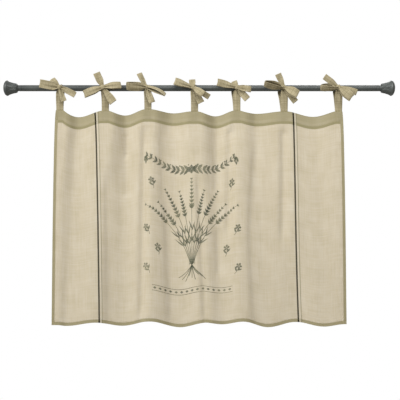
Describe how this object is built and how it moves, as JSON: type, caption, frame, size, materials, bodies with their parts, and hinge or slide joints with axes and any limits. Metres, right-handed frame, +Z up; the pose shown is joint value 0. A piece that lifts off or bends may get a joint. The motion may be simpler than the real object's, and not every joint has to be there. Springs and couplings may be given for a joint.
{
  "type": "tie-top cafe curtain on a curtain rod",
  "caption": "Sheer linen cafe curtain with woven side stripes and a faded print, tied with bows to a round metal rod that has bell-shaped finials.",
  "frame": {"origin": "on the rod's axis, half way between its two tips", "axes": "+X along the rod to the right as seen from the front, +Y away from the viewer, +Z up"},
  "size_m": [1.0938, 0.0608, 0.7153],
  "materials": {
    "panel_linen": "sheer plain-woven linen, natural cream",
    "tie_linen": "doubled plain-woven linen, natural flax",
    "graphite_metal": "satin graphite paint"
  },
  "bodies": {
    "root": {"rod": "graphite_metal", "finial_left": "graphite_metal", "finial_right": "graphite_metal", "curtain_panel": "panel_linen", "tie_1_front_strap": "tie_linen", "tie_1_back_strap": "tie_linen", "tie_1_bow": "tie_linen", "tie_2_front_strap": "tie_linen", "tie_2_back_strap": "tie_linen", "tie_2_bow": "tie_linen", "tie_3_front_strap": "tie_linen", "tie_3_back_strap": "tie_linen", "tie_3_bow": "tie_linen", "tie_4_front_strap": "tie_linen", "tie_4_back_strap": "tie_linen", "tie_4_bow": "tie_linen", "tie_5_front_strap": "tie_linen", "tie_5_back_strap": "tie_linen", "tie_5_bow": "tie_linen", "tie_6_front_strap": "tie_linen", "tie_6_back_strap": "tie_linen", "tie_6_bow": "tie_linen", "tie_7_front_strap": "tie_linen", "tie_7_back_strap": "tie_linen", "tie_7_bow": "tie_linen"}
  },
  "joints": []
}
